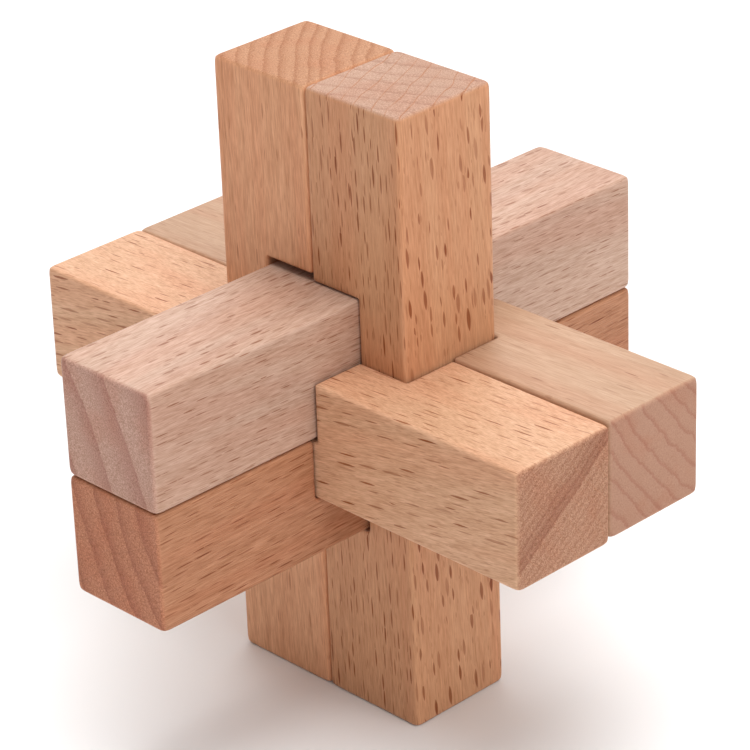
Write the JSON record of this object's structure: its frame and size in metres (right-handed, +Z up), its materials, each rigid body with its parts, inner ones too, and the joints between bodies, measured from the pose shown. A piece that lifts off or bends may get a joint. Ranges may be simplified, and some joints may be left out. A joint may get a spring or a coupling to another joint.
{
  "type": "six-piece burr puzzle",
  "caption": "Interlocking wooden burr puzzle: square beech sticks in crossing pairs, locked by hidden notches and freed by sliding one plain key stick out.",
  "frame": {"origin": "on the floor under the middle of the puzzle, as it stands on the ends of its two uprights", "axes": "+Z up along the uprights, +X along the key stick and the base stick, +Y along the two crossbars, from the front upright to the rear one"},
  "size_m": [0.1, 0.1002, 0.1],
  "materials": {
    "key_beech": "pinkish beech, fine dark ray flecks, sanded and lightly oiled",
    "base_beech": "red-brown beech, sanded and lightly oiled",
    "front_upright_beech": "warm beech with long dark ray flecks, sanded and lightly oiled",
    "rear_upright_beech": "plain warm beech, sanded and lightly oiled",
    "left_crossbar_beech": "orange-tan beech with scattered flecks, sanded and lightly oiled",
    "right_crossbar_beech": "pale yellowish beech, sanded and lightly oiled"
  },
  "bodies": {
    "puzzle_frame": {"base_stick": "base_beech", "front_upright": "front_upright_beech", "rear_upright": "rear_upright_beech", "left_crossbar": "left_crossbar_beech", "right_crossbar": "right_crossbar_beech"},
    "key": {"key_stick": "key_beech"}
  },
  "joints": [
    {"name": "key_slide", "type": "slide", "parent": "puzzle_frame", "child": "key", "axis": [1, 0, 0], "range_m": [-0.07, 0.07]}
  ]
}
